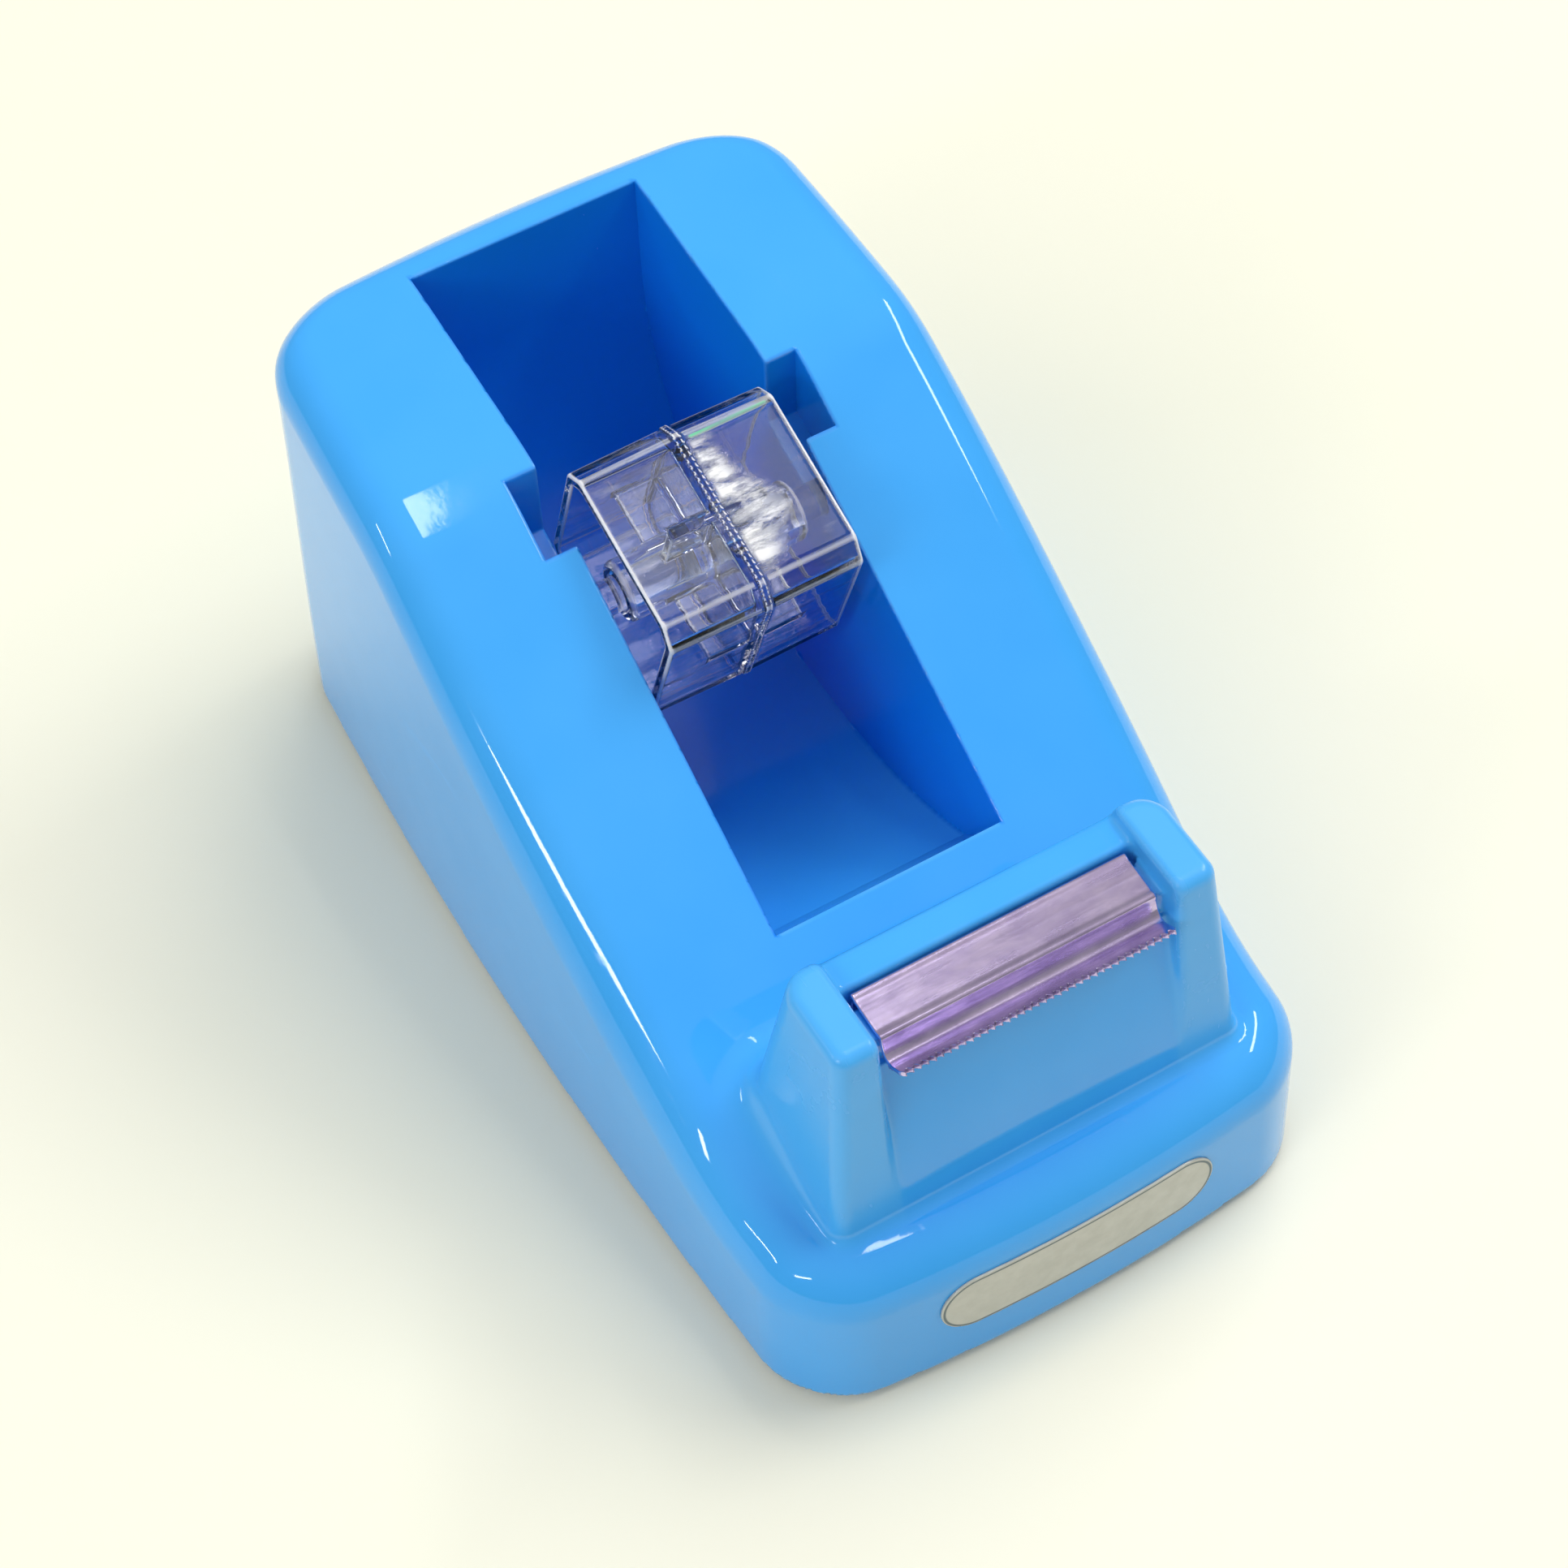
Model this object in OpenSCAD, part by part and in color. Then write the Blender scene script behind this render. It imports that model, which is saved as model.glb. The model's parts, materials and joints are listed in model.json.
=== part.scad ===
// Weighted desk tape dispenser for 19 mm tape on a 1 inch core.
// X is across, -Y is the cutting end, +Z is up; the origin is the centre of the footprint.

/* [Body] */
// Length of the body at the foot, without the bow of its ends
body_len = 100; // [94:1:110]
// Width of the body at its front and rear corners
body_wid = 53.4; // [50:0.2:60]
// How far each side bows outward at mid-length
side_bow = 2.2; // [0:0.1:3]
// How far each end bows outward on the centre line
end_bow = 2.2; // [0:0.1:3]
// Wall thickness of the moulded shell
wall = 2.2; // [1.6:0.1:3]
// Height of the flat nose in front of the cutter
nose_top = 18.4; // [16:0.2:22]
// Angle of the sloping deck, in degrees
deck_angle = 29.7; // [26:0.1:33]
// Angle at which the crown behind the axle slots rises, in degrees
crown_angle = 6; // [0:0.5:10]
// Radius of the rounded top edges
edge_r = 5; // [3:0.5:6]
// How much each side leans inward per millimetre of height
draft = 0.01; // [0:0.005:0.05]

/* [Tape well] */
// Width of the tape well
well_wid = 23; // [21:0.5:25]
// Radius of the well's curved front and rear
well_r = 33; // [30:0.5:34]
// Height of the well's floor at its lowest point
well_floor = 11.5; // [9:0.5:14]
// Depth of each axle slot beyond the well's side
slot_depth = 3.1; // [2:0.1:4]

/* [Hub] */
// Size of the square hub across its flats
hub_side = 19.1; // [17:0.1:19.6]
// Length of the hub
hub_len = 19.4; // [17:0.2:20]
// Wall thickness of the hub
hub_wall = 1.2; // [0.8:0.1:2]
// Width of the hub's flattened corners, measured along one side
hub_corner = 1.9; // [1:0.1:3]
// Angle at which the hub rests, in degrees
hub_rest = 18.5; // [0:0.1:45]
// Diameter of the axle pin
pin_d = 3.3; // [2.8:0.1:3.5]

/* [Cutter] */
// Length of the cutter blade
blade_len = 26.8; // [24:0.2:27.6]
// Thickness of the blade's steel
blade_t = 0.5; // [0.3:0.05:0.8]
// Number of teeth along the cutting edge
teeth = 38; // [20:1:46]

/* [Base] */
// Thickness of the foam pad
pad_t = 1.0; // [0.6:0.1:2]
// Thickness of the base plate
base_t = 1.8; // [1.2:0.1:2.4]
// Diameter of the base screws' shanks
screw_d = 2.9; // [2:0.1:3.5]

/* [Hidden] */
$fn = 96;
eps = 0.01;
big = 200;

foot = pad_t;                        // underside of the shell
y_front = -body_len / 2;             // corners of the footprint
y_rear = body_len / 2;
half_w = body_wid / 2;

// Side profile of the deck, all as [y, z]
deck_a = [19.6, 49.6];               // where the slope meets the crown
crown_end = 42;                      // where the crown starts to round down to the rear
nose_y = deck_a[0] - (deck_a[1] - nose_top) / tan(deck_angle);
rear_ball = [44.9, 45.6];            // centre of the rounding at the rear of the top

// Tape well
well_c = [10, 40];
floor_r = 50;
slot_y = [12.8, 19.6];
slot_floor = 40.9;

// Axle seat and the line along which the hub lifts out
seat = [11, 39.2];
lift_angle = 31.8;
seat_clear = 0.07;
lift_len = 30;

// Cutting tower
post_in = 14.3;
post_out = 18.4;
tower_out = 20.5;
post_top = 41.7;
tower_foot = 14;
leg_y = -36.1;                       // centre of the slot for the blade's rear leg

// Base: the plate sits in a rebate around the shell's foot
plate_gap = 0.15;
rebate = wall - 0.7;
screws = [[-18.5, -40], [18.5, -40], [-18.5, 43], [18.5, 43]];
boss_d = 7;
head_d = 5.4;
head_h = 1.3;
screw_len = 9;

function bow(t, amount) = amount * (1 - t * t);
function side_x(y, inset = 0) = half_w + bow(y / y_rear, side_bow) - inset;
function deck_z(y) = y < nose_y ? nose_top
    : deck_a[1] + (y - deck_a[0]) * tan(y < deck_a[0] ? deck_angle : crown_angle);

// Plan outline of the footprint, drawn in by inset, with rounded corners
module footprint(inset = 0, steps = 10, r = 7) {
    corner_x = half_w + side_bow * 0.25 - r;
    corner_y = y_rear + end_bow * 0.4 - r;
    hull() for (sx = [-1, 1], sy = [-1, 1]) {
        translate([sx * corner_x, sy * corner_y]) circle(r - inset, $fn = 48);
        for (t = [0 : 1 / steps : 1]) {
            y = t * (y_rear - r - 1);
            x = t * (half_w - r - 1);
            translate([sx * (side_x(y, inset) - eps), sy * y]) square(eps * 2, true);
            translate([sx * x, sy * (y_rear + bow(x / half_w, end_bow) - inset - eps)])
                square(eps * 2, true);
        }
    }
}

// Rounded hulls of the main body and of the nose; grow stands off the surface, for the name plate
module crown_ball(x, y, z, grow) {
    for (s = [-1, 1]) translate([s * x, y, z]) sphere(edge_r + grow, $fn = 28);
}

module foot_slab(grow) {
    translate([0, 0, foot]) linear_extrude(0.1) intersection() {
        footprint(-grow);
        children();
    }
}

module upper_hull(grow = 0) {
    top_x = function(y) side_x(y) - edge_r - draft * deck_z(y);
    bend = (deck_angle + crown_angle) / 2;
    reach = edge_r / cos((deck_angle - crown_angle) / 2);
    hull() {
        for (y = [nose_y + 1, -8, 8, crown_end]) {
            a = y < deck_a[0] ? deck_angle : crown_angle;
            crown_ball(top_x(y), y + edge_r * sin(a), deck_z(y) - edge_r * cos(a), grow);
        }
        crown_ball(top_x(deck_a[0]), deck_a[0] + reach * sin(bend), deck_a[1] - reach * cos(bend), grow);
        crown_ball(half_w - edge_r - draft * rear_ball[1] - 1, rear_ball[0], rear_ball[1], grow);
        crown_ball(half_w / 3, rear_ball[0] + end_bow - 1.2, rear_ball[1], grow);
        foot_slab(grow) translate([-big / 2, nose_y]) square(big);
    }
}

module nose_hull(grow = 0) {
    z = nose_top - edge_r;
    hull() {
        for (t = [0, 0.45, 0.9])
            crown_ball(t * (half_w - edge_r), y_front - bow(t, end_bow) + edge_r + draft * z, z, grow);
        crown_ball(half_w - edge_r - draft * z - 0.8, y_front + edge_r + 1.6, z, grow);
        crown_ball(side_x(nose_y) - edge_r - draft * z, nose_y + 4, z, grow);
        foot_slab(grow) translate([-big / 2, nose_y + 6 - big]) square(big);
    }
}

// Space inside the shell: the footprint drawn in, under a ceiling that follows the deck
module cavity() {
    c = wall + 0.6;
    intersection() {
        union() {
            translate([0, 0, foot - 1]) linear_extrude(20) footprint(wall + 0.8);
            translate([0, 0, foot]) linear_extrude(big) footprint(wall + 2);
        }
        along_x(big / 2) polygon([[-big, foot - 2], [-big, nose_top - c], [nose_y + 1.5, nose_top - c],
            [deck_a[0], deck_a[1] - c - 0.4], [crown_end - 1, deck_z(crown_end - 1) - c - 0.2],
            [47, rear_ball[1] + 0.5], [big, rear_ball[1] + 0.5], [big, foot - 2]]);
    }
}

module outer() { upper_hull(); nose_hull(); }

module along_x(half) { rotate([90, 0, 90]) translate([0, 0, -half]) linear_extrude(2 * half) children(); }

// Well seen from the side: two arcs for the floor, straight walls above its centre
module well_side(grow = 0) {
    intersection() {
        union() {
            translate(well_c) circle(well_r + grow);
            translate([well_c[0] - well_r - grow, well_c[1]]) square([2 * (well_r + grow), 30]);
        }
        translate([well_c[0], well_floor + floor_r]) union() {
            circle(floor_r + grow);
            translate([-floor_r - grow, 0]) square([2 * (floor_r + grow), 30]);
        }
    }
}

// Axle slot seen from the side: an upright entry, then a ramp forward to the seat
module slot_side() {
    r = pin_d / 2 + seat_clear;
    translate([slot_y[0], slot_floor]) square([slot_y[1] - slot_y[0], 20]);
    translate(seat) circle(r);
    translate(seat) rotate(-lift_angle) translate([-r, 0]) square([2 * r, lift_len]);
    polygon([seat + [0, -r], [slot_y[1], slot_floor], [slot_y[0], slot_floor + 3], seat]);
}

module well_void() {
    along_x(well_wid / 2) well_side();
    along_x(well_wid / 2 + slot_depth) slot_side();
}

// Walls of the well and of the slot pockets inside the shell
module well_housing() {
    along_x(well_wid / 2 + wall) well_side(wall);
    along_x(well_wid / 2 + slot_depth + wall) translate([seat[0] - 5, seat[1] - 5]) square([18, 20]);
}

module boss_posts(d, z0, z1) {
    for (p = screws) translate([p[0], p[1], z0]) cylinder(h = z1 - z0, d = d);
}

// Cutting tower: posts, ridge, blade seat and recessed front panel
module tower() {
    intersection() {
        along_x(30) polygon([[-32.4, post_top], [-42.4, post_top - 0.2], [-45.3, nose_top],
                             [-45.8, tower_foot], [-27, tower_foot], [-29, 22.5]]);
        rotate([90, 0, 0]) translate([0, 0, 20]) linear_extrude(40)
            polygon([[-post_out, post_top], [post_out, post_top], [tower_out, nose_top],
                     [tower_out + 0.4, tower_foot], [-tower_out - 0.4, tower_foot],
                     [-tower_out, nose_top]]);
    }
}

module tower_gap() {
    along_x(post_in) difference() {
        polygon([[-20, 60], [-60, 60], [-60, 24.5], [-44.5, 24.5], [-41, 36], [-40.6, 36.6],
                 [-40.3, 39], [-35.7, 39.2], [-35.5, 40.2], [-33.4, 40.4], [-32, 39.2], [-20, 39.2]]);
        translate([-31, 10]) square([12, 29.3]);
    }
    along_x(post_in) translate([leg_y - blade_t / 2 - 0.05, 35.6]) square([blade_t + 0.1, 10]);
}

module body_shell() color("dodgerblue") {
    difference() {
        union() {
            outer();
            tower();
        }
        difference() {
            cavity();
            well_housing();
            boss_posts(boss_d, foot + base_t + 0.05, 60);
        }
        translate([0, 0, foot - 1]) linear_extrude(base_t + 1.05) footprint(rebate);
        well_void();
        tower_gap();
        boss_posts(screw_d + 0.1, foot, foot + base_t + screw_len);
    }
}

module base_plate() color("royalblue") difference() {
    translate([0, 0, foot]) linear_extrude(base_t) footprint(rebate + plate_gap);
    for (p = screws) translate([p[0], p[1], foot - eps]) {
        cylinder(h = 10, d = screw_d + 0.4);
        cylinder(h = head_h + 0.1, d = head_d + 0.4);
    }
}

// Cast weight that lies on the base plate, with a cheek on each side of the well
module ballast_block() color("gray") {
    z0 = foot + base_t + 0.05;
    difference() {
        union() {
            translate([-22, -32, z0]) cube([44, 68, 5]);
            for (s = [-1, 1]) translate([s * 19 - 3.8, -16, z0]) cube([7.6, 50, 19]);
        }
        along_x(well_wid / 2 + wall + 0.3) well_side(wall + 0.3);
    }
}

module foam_pad() color("dimgray") linear_extrude(pad_t) footprint(0.9);

module base_screws() color("silver") for (p = screws) translate([p[0], p[1], foot + 0.05]) {
    difference() {
        union() {
            cylinder(h = head_h, d = head_d);
            cylinder(h = screw_len, d = screw_d);
        }
        for (a = [0, 90]) rotate(a) translate([-1.5, -0.35, -eps]) cube([3, 0.7, 0.9]);
    }
}

// Blade seen from the side: rear leg, flat top, dip and rising toothed edge
module blade_side() {
    t = blade_t;
    polygon([[leg_y - t / 2, 36.2], [leg_y + t / 2, 36.2], [leg_y + t / 2, 39.8], [-40.6, 39.5],
             [-41.2, 37.7], [-42, 37.4], [-44.2, 38.9], [-44.3, 38.5], [-42, 36.9], [-41, 37.1],
             [-40.3, 39], [leg_y - t / 2, 39.3]]);
}

module cutter_blade() color("lightsteelblue") {
    pitch = blade_len / teeth;
    difference() {
        along_x(blade_len / 2) blade_side();
        for (i = [0 : teeth]) translate([(i - teeth / 2) * pitch, -44.4, 30])
            rotate(45) translate([-pitch / 2, -pitch / 2, 0]) cube([pitch, pitch, 20]);
    }
}

module hub_square(s, c) {
    h = s / 2;
    polygon([[h - c, h], [h, h - c], [h, c - h], [h - c, -h], [c - h, -h], [-h, c - h],
             [-h, h - c], [c - h, h]]);
}

// Clear drum: square tube, cross web at mid-length, bored tube on the axis with four ribs
module hub_drum() color("lavender", 0.5) translate([0, seat[0], seat[1]]) rotate([hub_rest, 0, 0])
difference() {
    union() {
        along_x(hub_len / 2) difference() {
            hub_square(hub_side, hub_corner);
            hub_square(hub_side - 2 * hub_wall, hub_corner - 0.6);
        }
        along_x(0.6) hub_square(hub_side - eps, hub_corner);
        along_x(hub_len / 2 - 0.6) circle(d = pin_d + 2.6);
        along_x(hub_len / 2 - 5) {
            square([hub_side - 1, 0.9], true);
            square([0.9, hub_side - 1], true);
        }
    }
    along_x(hub_len) circle(d = pin_d + 0.12);
}

module hub_axle() color("aliceblue", 0.6) translate([0, seat[0], seat[1]])
    along_x(well_wid / 2 + slot_depth - 0.4) circle(d = pin_d);

// Blank name plate on the front wall
module front_plate() color("silver") intersection() {
    rotate([90, 0, 0]) translate([0, 9.9, 40]) linear_extrude(20) {
        square([20.6, 7.4], true);
        for (s = [-1, 1]) translate([s * 10.3, 0]) circle(d = 7.4);
    }
    difference() {
        nose_hull(0.3);
        nose_hull();
    }
}

body_shell();
base_plate();
ballast_block();
foam_pad();
base_screws();
cutter_blade();
hub_drum();
hub_axle();
front_plate();
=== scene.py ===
"""Looks of a small weighted desk tape dispenser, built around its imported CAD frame."""

import json
import math

import bpy
import numpy as np
import openvdb as vdb
from mathutils import Matrix, Vector


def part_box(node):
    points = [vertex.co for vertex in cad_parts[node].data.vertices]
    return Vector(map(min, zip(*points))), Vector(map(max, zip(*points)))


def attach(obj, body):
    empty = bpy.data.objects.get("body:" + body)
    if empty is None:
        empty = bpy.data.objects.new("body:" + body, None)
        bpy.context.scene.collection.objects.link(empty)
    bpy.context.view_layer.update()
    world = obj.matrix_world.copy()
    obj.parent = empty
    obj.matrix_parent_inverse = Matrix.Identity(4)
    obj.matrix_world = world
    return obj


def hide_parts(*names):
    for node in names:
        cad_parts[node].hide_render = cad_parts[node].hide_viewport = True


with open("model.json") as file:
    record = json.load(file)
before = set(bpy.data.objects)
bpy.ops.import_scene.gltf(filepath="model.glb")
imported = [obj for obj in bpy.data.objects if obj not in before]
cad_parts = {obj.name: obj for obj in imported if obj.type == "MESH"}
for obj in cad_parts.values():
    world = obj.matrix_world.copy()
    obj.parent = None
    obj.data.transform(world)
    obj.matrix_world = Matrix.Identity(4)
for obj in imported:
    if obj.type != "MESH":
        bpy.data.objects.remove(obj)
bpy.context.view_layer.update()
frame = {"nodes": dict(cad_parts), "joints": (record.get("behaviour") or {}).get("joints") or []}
NODES = frame["nodes"]
MM = 0.001  # the shapes below are worked out in millimetres and scaled once, in mesh_from()


def box_mm(node):
    """Lowest and highest corner of a CAD node, in millimetres."""
    lo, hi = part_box(node)
    return np.array(lo) / MM, np.array(hi) / MM


# ---------------------------------------------------------------- fields
# A field is negative inside a solid and close to the distance from its surface.


def round_both(a, b, r):
    """Inside both, with the edge between them rounded to r."""
    return np.minimum(np.maximum(a, b), -r) + np.hypot(np.maximum(a + r, 0), np.maximum(b + r, 0))


def round_either(a, b, r):
    """Inside either, with the corner between them filled to r."""
    return np.maximum(np.minimum(a, b), r) - np.hypot(np.maximum(r - a, 0), np.maximum(r - b, 0))


def soft_either(a, b, k):
    """Inside either, with a shallow corner between them eased over k."""
    h = np.maximum(k - np.abs(a - b), 0) / k
    return np.minimum(a, b) - h * h * k / 4


def soft_both(a, b, k):
    """Inside both, with a shallow edge between them eased over k."""
    return -soft_either(-a, -b, k)


def ease(t, start, end):
    """0 before start, 1 after end, and smooth between."""
    u = np.clip((t - start) / (end - start), 0, 1)
    return u * u * (3 - 2 * u)


def line(y, z, a, b):
    """Distance from the straight line through a and b, positive on its right from a to b."""
    dy, dz = b[0] - a[0], b[1] - a[1]
    return ((y - a[0]) * dz - (z - a[1]) * dy) / math.hypot(dy, dz)


def slope_of(field, p, h):
    """Gradient of a field at points p, by differences over h."""
    g = np.empty_like(p)
    for i in range(3):
        step = np.zeros(3)
        step[i] = h
        g[:, i] = (field(*(p + step).T) - field(*(p - step).T)) / (2 * h)
    return g


def move_onto(field, p, limit):
    """Points p moved by one step towards the zero surface of field, by no more than limit."""
    g = slope_of(field, p, 0.02)
    step = field(*p.T)[:, None] * g / np.maximum((g * g).sum(1), 0.05)[:, None]
    size = np.linalg.norm(step, axis=1, keepdims=True)
    return p - step * np.minimum(1, limit / np.maximum(size, 1e-9))


MESH_PASSES = 4  # how often the vertices are moved
CREASE_REACH = 0.55  # in pitches: how close to a crease a vertex is moved onto it


def field_mesh(name, field, lo, hi, pitch, creases=()):
    """Closed mesh of the zero surface of field between corners lo and hi, in millimetres.
    Every piece is symmetric, so the field is worked out for x > 0 only and mirrored. Vertices are
    moved onto the surface, and their normals are the field's own. Creases are pairs of fields
    whose zero surfaces meet along an edge: the vertices next to it are moved onto it, so that it
    comes out straight."""
    lo, hi = np.asarray(lo, float), np.asarray(hi, float)
    n = np.ceil((hi - lo) / pitch).astype(int) + 1
    n[0] = math.ceil(hi[0] / pitch) + 1
    lo[0] = 0
    axes = (lo[i] + pitch * np.arange(n[i], dtype=np.float32) for i in range(3))
    x, y, z = np.meshgrid(*axes, indexing="ij", sparse=True)
    values = np.broadcast_to(field(x, y, z), n).astype(np.float32)
    band = 4 * pitch
    values = np.clip(values, -band, band)
    values = np.concatenate([values[:0:-1], values])
    lo[0] = -pitch * (n[0] - 1)
    grid = vdb.FloatGrid()
    grid.background = band
    grid.copyFromArray(np.ascontiguousarray(values), tolerance=0)
    points, quads = grid.convertToQuads(isovalue=0.0)
    p = lo + points.astype(float) * pitch

    for _ in range(MESH_PASSES):
        p = move_onto(field, p, pitch / 2)
    creased = np.zeros(len(p), bool)
    for a, b in creases:
        near = np.maximum(np.abs(a(*p.T)), np.abs(b(*p.T))) < CREASE_REACH * pitch
        q = p[near]
        for _ in range(MESH_PASSES):
            q = move_onto(lambda x, y, z: a(x, y, z) - b(x, y, z), q, pitch / 2)
            q = move_onto(field, q, pitch / 2)
        p[near] = q
        creased |= near
    return mesh_from(name, p, quads, field, creased)


def unit_slope(field, p):
    """Direction in which a field rises at points p."""
    normal = slope_of(field, p, 0.05)
    return normal / np.maximum(np.linalg.norm(normal, axis=1, keepdims=True), 1e-9)


def mesh_from(name, points, quads, field, creased):
    """Mesh object from arrays of points in millimetres and of faces with four corners. Its normals
    are the field's slope; at a creased point each face takes the slope on its own side."""
    mesh = bpy.data.meshes.new(name)
    mesh.vertices.add(len(points))
    mesh.vertices.foreach_set("co", (points * MM).astype(np.float32).ravel())
    mesh.loops.add(quads.size)
    mesh.loops.foreach_set("vertex_index", np.ascontiguousarray(quads, np.int32).ravel())
    mesh.polygons.add(len(quads))
    mesh.polygons.foreach_set("loop_start", np.arange(0, quads.size, 4, dtype=np.int32))
    mesh.update(calc_edges=True)
    normals = unit_slope(field, points)
    mean = np.empty(points.size, np.float32)
    mesh.vertices.foreach_get("normal", mean)
    if (mean.reshape(-1, 3) * normals).sum() < 0:
        mesh.flip_normals()
    mesh.shade_smooth()
    corners = np.empty(quads.size, np.int32)
    mesh.loops.foreach_get("vertex_index", corners)
    middles = np.repeat(points[corners].reshape(-1, 4, 3).mean(1), 4, axis=0)
    at_corner = normals[corners]
    on_crease = creased[corners]
    inset = 0.35  # of the way to the middle of the face
    inward = points[corners[on_crease]] * (1 - inset) + middles[on_crease] * inset
    at_corner[on_crease] = unit_slope(field, inward)
    mesh.normals_split_custom_set(at_corner.tolist())
    made = bpy.data.objects.new(name, mesh)
    bpy.context.scene.collection.objects.link(made)
    return made


# ---------------------------------------------------------------- body shell

SHELL_LO, SHELL_HI = box_mm("body_shell")
FOOT = SHELL_LO[2]
MID_X, END_Y = SHELL_HI[0], SHELL_HI[1]  # half width and half length where the sides bow out most
SIDE_BOW, END_BOW = 2.2, 2.2
FLAT_X, FLAT_Y = 26.7, 50.0  # where the bows of the ends and of the sides run out
SIDE_DRAFT, END_DRAFT = 0.015, 0.035
FRONT_CORNER = 7.0  # radii of the upright corners
REAR_CORNER, REAR_CORNER_GAIN = 7.5, 2.0  # at the foot, and how much more at the top
EDGE_R, EDGE_DECK_LOSS, EDGE_REAR_GAIN = 5.0, 0.6, 2.1  # rounding of the top's edge, nose to rear
WALL = 2.2
NOSE_TOP = 18.4
DECK_ANGLE = math.radians(29.7)
CROWN_ANGLE = math.radians(6)
DECK_POINT = (19.6, 49.6)  # where the slope meets the crown, as (y, z)
REAR_C, REAR_R = (36.5, 2.5), 50.0  # centre and radius of the crown's fall to the rear
NOSE_EASE, DECK_EASE, CROWN_EASE = 3.0, 1.5, 0.6  # how gently the lines of the top meet
WELL_X = 11.5
WELL_C, WELL_R = (10.0, 40.0), 33.0
FLOOR_R, WELL_FLOOR = 50.0, 11.5
SLOT_X, SLOT_Y, SLOT_FLOOR = 14.6, (12.8, 19.6), 40.9
SEAT, PIN_R = (11.0, 39.2), 1.65
SEAT_PLAY, RAMP_ANGLE = 0.07, math.radians(31.8)

# The cutting tower. Pairs of points are (y, z), from top to bottom.
POST_IN, POST_TOP = 14.3, 41.7
FLANK_X, FLANK_DRAFT = 18.4, 0.09
TOWER_FRONT = ((-42.4, 41.5), (-45.3, 18.4))
TOWER_BACK = ((-32.4, 41.7), (-29.0, 22.5))
PANEL_FACE, PANEL_TOP = ((-41.0, 36.0), (-44.5, 24.5)), 36.2
BLADE_SEAT_Y, BLADE_SEAT_TOP = -40.4, 39.0
LEG_SLOT_Y, LEG_SLOT_HALF, LEG_SLOT_FLOOR = -36.2, 0.6, 37.9
RIDGE_Y, RIDGE_TOP = -35.6, 40.4


def plan_field(x, y, z):
    """Outline of the body in plan, with drafted walls."""
    side = np.abs(x) - (MID_X - SIDE_BOW * (y / FLAT_Y) ** 2 - SIDE_DRAFT * (z - FOOT))
    end = np.abs(y) - (END_Y - END_BOW * (x / FLAT_X) ** 2 - END_DRAFT * (z - FOOT))
    corner = np.where(y < 0, FRONT_CORNER, REAR_CORNER + REAR_CORNER_GAIN * ease(z, 5, 48))
    return round_both(side, end, corner)


def tilted(y, z, angle):
    """Below a plane that rises to the rear by angle through the deck point."""
    return (z - DECK_POINT[1]) * math.cos(angle) - (y - DECK_POINT[0]) * math.sin(angle)


def deck_field(y, z):
    """Top of the body from the side: level nose, slope, straight crown and a fall to the rear."""
    fall = np.hypot(np.maximum(y - REAR_C[0], 0), z - REAR_C[1]) - REAR_R
    crown = soft_both(tilted(y, z, CROWN_ANGLE), fall, CROWN_EASE)
    slope = soft_both(tilted(y, z, DECK_ANGLE), crown, DECK_EASE)
    return soft_either(slope, z - NOSE_TOP, NOSE_EASE)


def body_field(x, y, z):
    """The wedge without its tower, before anything is cut out of it."""
    edge = EDGE_R - EDGE_DECK_LOSS * ease(y, -10, 15) + EDGE_REAR_GAIN * ease(y, 42, 48)
    return round_both(plan_field(x, y, z), deck_field(y, z), edge)


def tower_field(x, y, z):
    """Cutting tower: two posts, with the ridge, blade seat and recessed panel between them."""
    ax = np.abs(x)
    front = line(y, z, *TOWER_FRONT)
    back = -line(y, z, *TOWER_BACK)
    flank = (ax - FLANK_X - (POST_TOP - z) * FLANK_DRAFT) * 0.996
    corner = 1.4 + 1.4 * ease(y, -38, -34)
    block = round_both(round_both(np.maximum(front, back), flank, corner), z - POST_TOP, 1.1)
    panel = np.maximum(line(y, z, *PANEL_FACE), z - PANEL_TOP)
    seat = np.maximum(BLADE_SEAT_Y - y, z - BLADE_SEAT_TOP)
    groove = np.maximum(np.abs(y - LEG_SLOT_Y) - LEG_SLOT_HALF, LEG_SLOT_FLOOR - z)
    ridge = round_both(RIDGE_Y - y, z - RIDGE_TOP, 0.5)
    middle = np.minimum(np.maximum(np.minimum(panel, seat), -groove), ridge)
    return round_both(block, round_either(POST_IN - ax, middle, 0.7), 0.8)


def above(y, z, centre, r):
    """Round bottom of radius r that goes straight up above its centre."""
    v, w = y - centre[0], z - centre[1]
    return np.where(w > 0, np.abs(v), np.hypot(v, w)) - r


def well_side(x, y, z, grow=0.0):
    """The well seen from the side: two arcs that meet in its floor."""
    ends = above(y, z, WELL_C, WELL_R + grow)
    floor = above(y, z, (WELL_C[0], WELL_FLOOR + FLOOR_R), FLOOR_R + grow)
    return np.maximum(ends, floor) + 0 * x


def well_field(x, y, z, grow=0.0):
    """Room for the tape roll; grow adds to it all round."""
    return np.maximum(np.abs(x) - WELL_X - grow, well_side(x, y, z, grow))


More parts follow.
